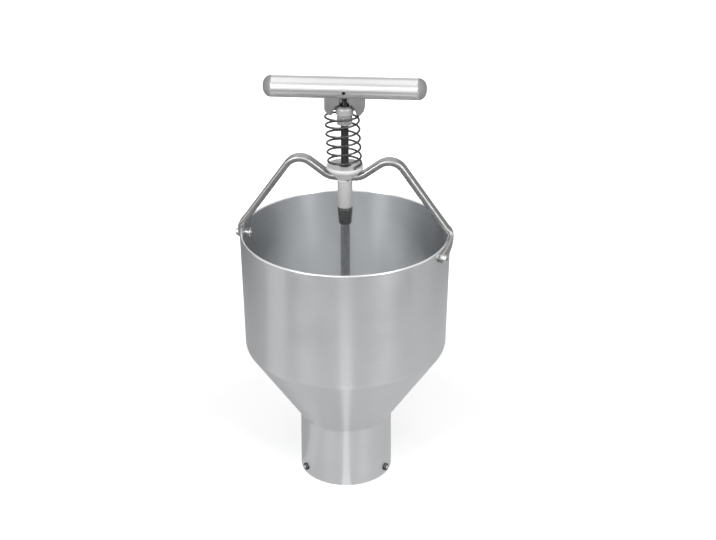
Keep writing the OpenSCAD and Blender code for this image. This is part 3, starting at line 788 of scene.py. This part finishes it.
def end_round(to_end, radius):
    """How far a round end stands in from the full width at that distance from it."""
    return radius - np.sqrt(radius ** 2 - np.clip(radius - to_end, 0, radius) ** 2)


def bar_sweep(middle, across, over, half_across, half_over, edge, steps=5):
    """A bar with rounded edges carried along its middle line: point = middle + across x a + over x b. Each ring goes
    round four quarter circles, whose centres lie an edge radius inside the sides. Its ends close on the middle line."""
    across, over = np.broadcast_arrays(across, over, middle)[:2]
    half_across, half_over, edge = np.broadcast_arrays(half_across, half_over, edge, np.zeros(len(middle)))[:3]
    edge = np.minimum(edge, np.minimum(half_across, half_over))[:, None]
    made = np.concatenate([[0], np.linspace(0, np.pi / 2, steps + 1), [np.pi / 2]])
    shift = np.concatenate([[-0.3], np.zeros(steps + 1), [0.3]])
    turn = (made + np.arange(4)[:, None] * np.pi / 2).ravel()
    shift = np.tile(shift, 4) * edge
    side_a = np.repeat([1, -1, -1, 1], len(made))
    side_b = np.repeat([1, 1, -1, -1], len(made))
    a = side_a * (half_across[:, None] - edge) + edge * np.cos(turn) - shift * np.sin(turn)
    b = side_b * (half_over[:, None] - edge) + edge * np.sin(turn) + shift * np.cos(turn)
    rings = middle[:, None] + across[:, None] * a[..., None] + over[:, None] * b[..., None]
    return capped(rings, middle[0], middle[-1])


def bridge_arm(swing):
    """An arm over +X whose screw lies at that swing round the wall. Its line bends at valley, hump and foot, is drawn
    onto the wall past the foot, and ends round the screw. Over is square to the line in the arm's plane, and turns to
    point out from the wall along the tab."""
    down = unit(foot - hump)
    knee = foot + down * foot_out / down[0]
    lug = turned(tab_r, swing, foot_screw_z)
    lug_end = lug + unit(lug - knee) * tab_w / 2
    line = rounded([[0, 0, valley[2]], valley, hump, knee, lug_end], [0, valley_bend, hump_bend, foot_bend, 0],
                   steps=24, closed=False)
    line = resampled(line, np.linspace(0, lengths_along(line)[-1], 300))
    at_knee = np.linalg.norm(line - knee, axis=1).argmin()
    past_knee = lengths_along(line) - lengths_along(line)[at_knee]
    on_wall = smooth_step(past_knee / foot_run + 0.7)
    drawn = on_wall[:, None]
    out = np.linalg.norm(line[:, :2], axis=1, keepdims=True)
    line[:, :2] *= 1 + drawn * (tab_r / np.maximum(out, 1) - 1)
    ahead = unit(np.gradient(line, axis=0))
    radial = unit(line * (1, 1, 0) + (1e-6, 0, 0))
    hint = unit(np.cross(ahead, (0, 1, 0))) * (1 - drawn) + radial * drawn
    across = unit(np.cross(hint, ahead))
    to_end = lengths_along(line)[-1] - lengths_along(line)
    thickness = bar_t + (tab_t - bar_t) * on_wall
    edge = bar_round + (tab_round - bar_round) * on_wall
    half_width = (bar_w + (tab_w - bar_w) * on_wall) / 2 - end_round(to_end, tab_w / 2)
    return bar_sweep(line, across, np.cross(ahead, across), half_width, thickness / 2, edge)


cast_aluminium = finish(
    "cast_aluminium", grey(0.4), grey(0.35), grey(0.48), (0.28, 0.36), "clouds", 6 * mm, 0.01 * mm, metallic=0.95)
right_arm = bridge_arm(foot_angles[0])
left_points, left_faces = bridge_arm(foot_angles[1] - np.pi)
put_piece("bridge_arms", [right_arm, (left_points * (-1, -1, 1), left_faces)], cast_aluminium, "bridge")

# %% [markdown]
# The hub in the middle of the bridge is a funnel with a rim, turned smoother and lighter than the arms. The spring
# stands on it and the guide sleeve hangs from it. A dark grub screw in its side holds the sleeve.

# %% Hub and guide sleeve
hub_top_z = 343.5
hub_r = 18.25
hub_lip = 3
hub_cone = 1.5
hub_low_r = 8.8
hub_foot = 2
hub_bore_r = 6.2
sleeve_r = 7.4
sleeve_low_z = low_of("guide_sleeve")
sleeve_top_z = hub_low_z + 0.5
sleeve_round = 2
rod_r = 4.7
sleeve_bore_r = rod_r + 0.3
grub_r = 2.05
sleeve_grub_angle = math.radians(-62)
sleeve_grub_z = 331.5

sleeve_steel = finish(
    "sleeve_steel", grey(0.5, 0.01), grey(0.45, 0.01), grey(0.56), (0.42, 0.54), "turned_lines", 0.5 * mm, 0.006 * mm,
    metallic=0.2)
hub_aluminium = finish(
    "hub_aluminium", grey(0.76), grey(0.68), grey(0.82), (0.4, 0.52), "turned_lines", 0.5 * mm, 0.006 * mm,
    metallic=0.2)
hub_profile = rounded(
    [(hub_low_r, hub_low_z), (hub_low_r, hub_low_z + hub_foot), (hub_r - hub_cone, hub_top_z - hub_lip - hub_cone),
     (hub_r, hub_top_z - hub_lip), (hub_r, hub_top_z), (hub_bore_r, hub_top_z), (hub_bore_r, hub_low_z)],
    [0.3, 2, 1, 0.8, 0.7, 0.3, 0.3])
put_piece("bridge_hub", [lathe(hub_profile, 120)], hub_aluminium, "bridge")
sleeve_profile = rounded(
    [(sleeve_bore_r, sleeve_low_z), (sleeve_r, sleeve_low_z), (sleeve_r, sleeve_top_z), (sleeve_bore_r, sleeve_top_z)],
    [0.3, sleeve_round, 0.2, 0.2])
put_piece("guide_sleeve_tube", [lathe(sleeve_profile)], sleeve_steel, "guide_sleeve")

# %% [markdown]
# Screws and nuts are small, but they are what a close look finds first. A nut is a lathe cut back to a hexagon, so the
# chamfer leaves the curved corners of a real one. A socket is the same cut on the rows inside the head. Inside the
# hopper the right screw has a flat nut, and the left one a round nut that flares away from the wall.

# %% Screws, washers and nuts of the feet
screw_r = 2
head_r = 3.8
head_h = 2.2
head_round = 1.7
foot_socket = 2.4
foot_socket_depth = 1.2
foot_washer_r = 4.4
foot_washer_t = 0.8
foot_washer_in = 108.2
foot_nut_out = 102.13
foot_nut_r, foot_flare_r = 3.2, 4.6
flat_nut_l, flared_nut_l = 1.6, 6.5
screw_end = 0.8


def socket_head(profile, flats, top, depth):
    """A lathe of an outer profile that ends at its top, with a hexagon socket sunk into it."""
    rows = np.concatenate([profile, [[flats, top], [flats, top - depth], [0, top - depth]]])
    cut = np.concatenate([np.full(len(profile), np.inf), [flats, flats, np.inf]])
    return lathe(rows, 96, cut)


def hex_nut(flats, bore, low, high):
    """A nut along +Z: a round blank, chamfered at both faces, cut back to its flats."""
    tip = flats / 2 / math.cos(math.pi / 6)
    face = 0.94 * flats / 2
    slope = (tip - face) * math.tan(math.pi / 6)
    blank = [(bore, low + 0.3), (bore + 0.3, low), (face, low), (tip, low + slope),
             (tip, high - slope), (face, high), (bore + 0.3, high), (bore, high - 0.3)]
    return lathe(dense(np.array(blank), 0.2), 120, flats)


def washer(bore, radius, low, high, edge=0.25):
    """A flat ring with rounded edges."""
    return lathe(rounded([(bore, low), (radius, low), (radius, high), (bore, high)], edge), 96)


def flared_nut():
    """A round nut along +Z. From the wall inwards its radius grows with the square of the way, up to the flare's."""
    low = foot_nut_out - flared_nut_l
    share = np.linspace(0, 1, 17)[:, None]
    radius = foot_nut_r + (foot_flare_r - foot_nut_r) * (1 - share) ** 2
    side = np.concatenate([radius, low + 0.8 + (flared_nut_l - 0.8) * share], 1)
    inner_end = [(screw_r, low), (foot_flare_r - 0.4, low), (foot_flare_r, low + 0.4)]
    return lathe(np.concatenate([inner_end, side, [(screw_r, foot_nut_out)]]), 64)


head_seat = foot_washer_in + foot_washer_t
head_top = head_seat + head_h
head_profile = rounded(
    [(0, head_seat), (head_r, head_seat), (head_r, head_top), (0.7 * foot_socket, head_top)],
    [0, 0.3, head_round, 0], steps=10, closed=False)


def foot_screw(nut_l):
    """A socket screw along +Z that ends a little past its nut."""
    head = socket_head(head_profile, foot_socket, head_top, foot_socket_depth)
    return joined([head, threaded_bar(screw_r, screw_pitch, foot_nut_out - nut_l - screw_end, head_seat)])


foot_washer = washer(screw_r + 0.2, foot_washer_r, foot_washer_in, head_seat, 0.2)
flat_nut = washer(screw_r, foot_nut_r, foot_nut_out - flat_nut_l, foot_nut_out, 0.3)
foot_screws = [foot_screw(flat_nut_l), foot_screw(flared_nut_l)]
foot_nuts = [flat_nut, flared_nut()]
for name, pair, node in (("bridge_screw_heads", foot_screws, "bridge_screws"),
                         ("bridge_washer_rings", [foot_washer, foot_washer], "bridge_washers"),
                         ("bridge_nut_rounds", foot_nuts, "bridge_nuts")):
    put_piece(name, [outward(shell, angle, foot_screw_z) for shell, angle in zip(pair, foot_angles)], steel, node)

# %% Sleeve grub screw
grub_socket = 2
grub_socket_depth = 1.6
sleeve_grub_in = 6.3
sleeve_grub_out = 9.3


def grub_screw(radius, low, high):
    """A set screw along +Z with a hexagon socket in its outer end."""
    profile = rounded(
        [(0, low), (radius, low), (radius, high), (0.65 * grub_socket, high)], [0, 0.4, 0.35, 0], closed=False)
    return socket_head(profile, grub_socket, high, grub_socket_depth)


sleeve_grub = outward(grub_screw(grub_r, sleeve_grub_in, sleeve_grub_out), sleeve_grub_angle, sleeve_grub_z)
put_piece("sleeve_grub_screw", [sleeve_grub], black_steel, "sleeve_set_screw")

# %% [markdown]
# The spring is a wire on a helix whose pitch grows from nothing at each end, so that the end turns lie flat. Its lower
# end bends into a tail that stands in the hub, and its top leans a little to the left. Unrolled, the wire is a line of
# way round and height, which is then wrapped onto the coil. Pressing the handle squashes it towards the hub.

# %% Spring
wire_r = 1.05
coil_r = 16.2
coil_turns = 6.1
coil_ease = 0.75
coil_start = math.radians(-46)
coil_lean = 2.8
tail_bend = 2.2
tail_low_z = low_of("spring")
spring_top_z = low_of("handle_yoke")
spring_room = spring_top_z - hub_top_z
coil_low_z = hub_top_z + tail_bend + seat_gap
coil_top_z = spring_top_z - wire_r - seat_gap


def spring_line():
    """Way round and height of the wire: a tail, a quarter bend, turns that climb by t t / 2 e over the first e turns,
    then evenly, then as at the start."""
    turns = np.linspace(0, coil_turns, int(48 * coil_turns) + 1)
    climbed = turns - coil_ease / 2
    left = coil_turns - turns
    climbed = np.where(turns < coil_ease, turns ** 2 / (2 * coil_ease), climbed)
    climbed = np.where(left < coil_ease, coil_turns - coil_ease - left ** 2 / (2 * coil_ease), climbed)
    pitch = (coil_top_z - coil_low_z) / (coil_turns - coil_ease)
    turn_length = 2 * np.pi * coil_r
    coil = np.stack([tail_bend + turns * turn_length, coil_low_z + pitch * climbed], 1)
    quarter = np.linspace(0, np.pi / 2, 9)[:-1, None]
    low_bend = np.concatenate([tail_bend * (1 - np.cos(quarter)), coil_low_z - tail_bend * (1 - np.sin(quarter))], 1)
    return np.concatenate([[[0, tail_low_z]], low_bend, coil])


def spring_wire(sides=20):
    """The line wrapped onto the coil, angle = start + way / coil radius, with a circle carried along it. The coil's
    middle moves to the left in step with the height over the hub."""
    way, height = spring_line().T
    angle = coil_start + way / coil_r
    out = turned(1, angle, 0)
    lean = coil_lean * np.maximum(height - hub_top_z, 0) / spring_room
    line = out * coil_r + np.stack([-lean, 0 * height, height], 1)
    ahead = unit(np.gradient(line, axis=0))
    over = unit(np.cross(ahead, out))
    around = full_turn(sides)[:, None]
    across = np.cross(over, ahead)
    rings = line[:, None] + wire_r * (across[:, None] * np.cos(around) + over[:, None] * np.sin(around))
    return capped(rings, line[0], line[-1])


spring_steel = finish(
    "spring_steel", grey(0.085, 0.03), grey(0.045, 0.03), grey(0.1), (0.28, 0.42), "clouds", 3 * mm, 0.004 * mm)
spring = put_piece("spring_wire", [spring_wire()], spring_steel, "spring")
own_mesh(spring)

# %% [markdown]
# The handle is a polished steel tube with a matte plug in each end, on a cast yoke with an arched pocket. The tube is a
# drilled lathe that lies on its side. The yoke has two cheeks, a web in which the stud lies half sunk, and a thin wall
# that closes the pocket's back. A cheek is a bar whose section runs from the pocket's side to the yoke's outline.

# %% Handle tube and its plugs
handle_turn = math.radians(3)
handle_z = sum(span_of("handle_bar")) / 2
tube_r = 10.5
tube_half = 69.7
tube_wall = 2.5
plug_r = tube_r - tube_wall - seat_gap
plug_out = 8.5
plug_in = 6
grub_dip = math.radians(15)
handle_way = np.array([math.cos(handle_turn), math.sin(handle_turn), 0])
handle_front = np.array([math.sin(handle_turn), -math.cos(handle_turn), 0])
grub_way = handle_front * math.cos(grub_dip) - np.array([0, 0, math.sin(grub_dip)])
handle_middle = np.array([0, 0, handle_z])
along_handle = (0, math.pi / 2, handle_turn)

polished_steel = finish(
    "polished_steel", grey(0.62), grey(0.57), grey(0.7), (0.2, 0.26), "long_scratches", 0.5 * mm, 0.001 * mm,
    metallic=0.65, centre=(0, 0, handle_z * mm), turn=along_handle)
cap_plastic = finish(
    "cap_plastic", grey(0.26), grey(0.18), grey(0.33), (0.5, 0.62), "cast_grain", 0.9 * mm, 0.05 * mm, metallic=0.0)
tube_loop = rounded(
    [(tube_r, -tube_half), (tube_r, tube_half), (tube_r - tube_wall, tube_half), (tube_r - tube_wall, -tube_half)], 0.5)
tube_profile = two_sided(tube_loop, hole_rows(0, grub_r))
tube = drilled_lathe(tube_profile, 240, [(0, 0, grub_r)])
put_piece("handle_tube", [placed(tube, handle_middle, grub_way, handle_way)], polished_steel, "handle_bar")

dome = np.linspace(0, np.pi / 2, 25)[:, None]
plug_curve = np.concatenate([tube_r * np.cos(dome) ** 0.8, plug_out * np.sin(dome)], 1)
plug_profile = np.concatenate([
    [[0, -plug_in], [plug_r, -plug_in], [plug_r, 0], [tube_r - 0.3, 0]], plug_curve[1:]])
plugs = [placed(lathe(plug_profile), handle_middle + handle_way * tube_half * side, (0, 0, 1), handle_way * side)
         for side in (1, -1)]
put_piece("handle_plugs", plugs, cap_plastic, "handle_caps")

# %% Yoke and its grub screw
yoke_w = 38.5
yoke_front, yoke_back = -6, 10
yoke_rise = handle_z - low_of("handle_yoke")
yoke_top = -3
pocket_r = 11.5
pocket_back = 8.8
slot_w = 9
slot_floor = -2.6
wall_inset = 0.15
chamfer_w = 4
chamfer_h = 5
yoke_round = 1.3
handle_grub_r = grub_r - 0.05
handle_grub_in, handle_grub_out = 6, tube_r - 0.4


def yoke_cheek(side):
    """One side of the yoke. Inner points run up the pocket's arch and the slot's side, outer ones up the chamfer and
    the flank and along the top, at the same share of the way. The section's middle lies between them and its thickness
    is their distance."""
    half = yoke_w / 2
    slot = slot_w / 2
    outline = rounded(
        [(half - chamfer_w, -yoke_rise), (half, -yoke_rise + chamfer_h), (half, yoke_top), (slot, yoke_top)],
        [0, 3, 2, 0], closed=False)
    arch = np.linspace(0, np.arccos(slot / pocket_r), 41)
    pocket = np.stack([pocket_r * np.cos(arch), pocket_r * np.sin(arch) - yoke_rise], 1)
    inner_side = np.concatenate([pocket, [(slot, yoke_top - yoke_round)]])
    share = np.linspace(0, 1, 121)
    outer = resampled(outline, share * lengths_along(outline)[-1])
    inner = resampled(inner_side, share * lengths_along(inner_side)[-1])
    middle, reach = np.insert(np.stack([inner + outer, outer - inner]) / 2, 1, 0, axis=2) * (side, 1, 1)
    middle[:, 1] = (yoke_front + yoke_back) / 2
    drawn_in = end_round(lengths_along(middle), yoke_round)
    half_over = np.linalg.norm(reach, axis=1)
    half_depth = (yoke_back - yoke_front) / 2
    return bar_sweep(middle, (0, 1, 0), unit(reach), half_depth - drawn_in, half_over - drawn_in, yoke_round)


def yoke_wall(reach, near, arch_r):
    """A wall from cheek to cheek: a bar along X from that depth to just inside the yoke's back, up to the yoke's top.
    Its lower side is an arch of that radius, or flat where the radius is 0."""
    x = np.linspace(-reach, reach, 41)
    low = np.sqrt(np.maximum(arch_r ** 2 - x ** 2, 0)) - yoke_rise
    far = yoke_back - wall_inset
    middle = np.stack([x, np.full_like(x, (near + far) / 2), (low + yoke_top) / 2], 1)
    return bar_sweep(middle, (0, 1, 0), (0, 0, 1), (far - near) / 2, (yoke_top - low) / 2, yoke_round)


yoke_web = yoke_wall(slot_w / 2 + 1, slot_floor, pocket_r)
pocket_wall = yoke_wall(pocket_r + 0.5, pocket_back, 0)
yoke_shells = [yoke_cheek(1), yoke_cheek(-1), yoke_web, pocket_wall]
yoke_shells = [placed(shell, handle_middle, handle_way, (0, 0, 1)) for shell in yoke_shells]
put_piece("handle_yoke_arch", yoke_shells, cast_aluminium, "handle_yoke")
handle_grub = grub_screw(handle_grub_r, handle_grub_in, handle_grub_out)
handle_grub = placed(handle_grub, handle_middle, handle_way, grub_way)
put_piece("handle_grub_screw", [handle_grub], black_steel, "handle_set_screw")

# %% [markdown]
# Inside the spring runs the threaded stud, with a round stop nut and a lock nut on it. The stop nut shows in the yoke's
# pocket, with a low dome over a plain side and a groove where it meets the lock nut. The thread's groove is real
# geometry, because it shows as fine bars between the turns of the spring.

# %% Stud and stop nuts
stud_r = 4
stud_pitch = 1.25
nut_neck_r = 7.2
nut_neck_h = 1
nut_head_r = radius_of("stop_nut")
nut_dome_h = 2.8
stop_low_z, stop_high_z = span_of("stop_nut")
lock_af = 14

stud = threaded_bar(stud_r, stud_pitch, *span_of("stud"), 40)
put_piece("stud_thread", [stud], spring_steel, "stud")
nut_steel = finish(
    "nut_steel", grey(0.42), grey(0.33), grey(0.5), (0.4, 0.5), "turned_lines", 0.4 * mm, 0.006 * mm, metallic=0.4)
crown = np.linspace(0, np.pi / 2, 17)[:, None]
dome_low_z = stop_high_z - nut_dome_h
crown_curve = np.concatenate([
    stud_r + (nut_head_r - stud_r) * np.cos(crown) ** 0.8, dome_low_z + nut_dome_h * np.sin(crown)], 1)
head_low_z = stop_low_z + nut_neck_h
stop_nut_profile = np.concatenate([
    [(stud_r, stop_low_z), (nut_neck_r, stop_low_z), (nut_neck_r, head_low_z), (nut_head_r - 0.4, head_low_z),
     (nut_head_r, head_low_z + 0.4)], crown_curve])
put_piece("stop_nut_dome", [lathe(stop_nut_profile)], nut_steel, "stop_nut")
put_piece("lock_nut_hexagon", [hex_nut(lock_af, stud_r, *span_of("lock_nut"))], nut_steel, "lock_nut")

# %% [markdown]
# The plunger below the bridge: a polished rod, a glossy black collar that meets the guide sleeve, and down in the
# outlet the piston with its seal, a spacer and the valve disc. Those at the bottom hide in the outlet, yet they are
# finished too, because the object can be seen from below and taken apart.

# %% Rod and collar
rod_low_z, rod_high_z = span_of("plunger_rod")
rod_step_z = 93
rod_tip_r = 4
collar_low_z, collar_high_z = span_of("stop_collar")
collar_low_r, collar_high_r = 6.2, radius_of("stop_collar")
collar_bore_r = rod_r + 0.1

rod_profile = rounded(
    [(0, rod_low_z), (rod_tip_r, rod_low_z), (rod_tip_r, rod_step_z), (rod_r, rod_step_z),
     (rod_r, rod_high_z), (0, rod_high_z)], [0, 0.5, 0.1, 0.3, 0.6, 0])
rod_steel = finish(
    "rod_steel", grey(0.45), grey(0.36), grey(0.6), (0.12, 0.2), "long_scratches", 0.4 * mm, 0.002 * mm)
put_piece("plunger_rod_bar", [lathe(rod_profile, 64)], rod_steel, "plunger_rod")
collar_profile = rounded(
    [(collar_bore_r, collar_low_z), (collar_low_r, collar_low_z), (collar_high_r, collar_high_z),
     (collar_bore_r, collar_high_z)], [0.2, 0.9, 0.7, 0.3])
collar_plastic = finish(
    "collar_plastic", grey(0.055), grey(0.04), grey(0.08), (0.16, 0.28), "clouds", 2 * mm, 0.01 * mm, metallic=0.0,
    Coat_Weight=0.4, Coat_Roughness=0.12)
put_piece("stop_collar_cone", [lathe(collar_profile)], collar_plastic, "stop_collar")

# %% Piston, seal, spacer and valve
piston_r = 44.7
piston_low_z, piston_high_z = span_of("piston")
seal_z = 89
seal_r = 1.45
groove_half = 1.7
groove_low_z = seal_z - groove_half
groove_high_z = seal_z + groove_half
groove_r = 42.1
stem_r = 4.05
disc_low_z, disc_high_z = span_of("valve_disc")
disc_r = radius_of("valve_disc")
disc_edge = 4
disc_hub_r = 12
recess_r = 8.5
recess_h = 5.4
valve_nut_af = 13

piston_plastic = finish(
    "piston_plastic", grey(0.8, 0.01), grey(0.72, 0.015), grey(0.84), (0.4, 0.52), "turned_lines", 0.5 * mm, 0.012 * mm,
    metallic=0.0)
seal_rubber = finish(
    "seal_rubber", grey(0.03), grey(0.02), grey(0.05), (0.5, 0.65), "cast_grain", 0.5 * mm, 0.01 * mm, metallic=0.0)
piston_profile = rounded(
    [(stem_r, piston_low_z), (piston_r, piston_low_z), (piston_r, groove_low_z), (groove_r, groove_low_z),
     (groove_r, groove_high_z), (piston_r, groove_high_z), (piston_r, piston_high_z), (stem_r, piston_high_z)],
    [0.3, 0.8, 0.2, 0.2, 0.2, 0.2, 0.8, 0.3])
put_piece("piston_turned", [lathe(piston_profile, 144)], piston_plastic, "piston")
loop_angle = full_turn(24)
seal_mid_r = radius_of("piston_seal") - seal_r
seal_profile = np.stack([seal_mid_r + seal_r * np.cos(loop_angle), seal_z + seal_r * np.sin(loop_angle)], 1)
put_piece("piston_seal_ring", [lathe(seal_profile, 144)], seal_rubber, "piston_seal")
spacer = washer(stem_r, radius_of("spacer_sleeve"), *span_of("spacer_sleeve"), 0.4)
put_piece("spacer_tube", [spacer], steel, "spacer_sleeve")
disc_profile = rounded(
    [(stem_r, disc_low_z + recess_h), (recess_r, disc_low_z + recess_h), (recess_r, disc_low_z), (disc_r, disc_low_z),
     (disc_r, disc_low_z + disc_edge), (disc_hub_r, disc_high_z), (stem_r, disc_high_z)],
    [0.2, 0.3, 0.4, 0.5, 0.8, 1, 0.3])
put_piece("valve_disc_turned", [lathe(disc_profile, 192)], machined_aluminium, "valve_disc")
valve_washer = washer(stem_r, radius_of("valve_washer"), *span_of("valve_washer"))
put_piece("valve_washer_ring", [valve_washer], steel, "valve_washer")
put_piece("valve_nut_hexagon", [hex_nut(valve_nut_af, stem_r, *span_of("valve_nut"))], steel, "valve_nut")
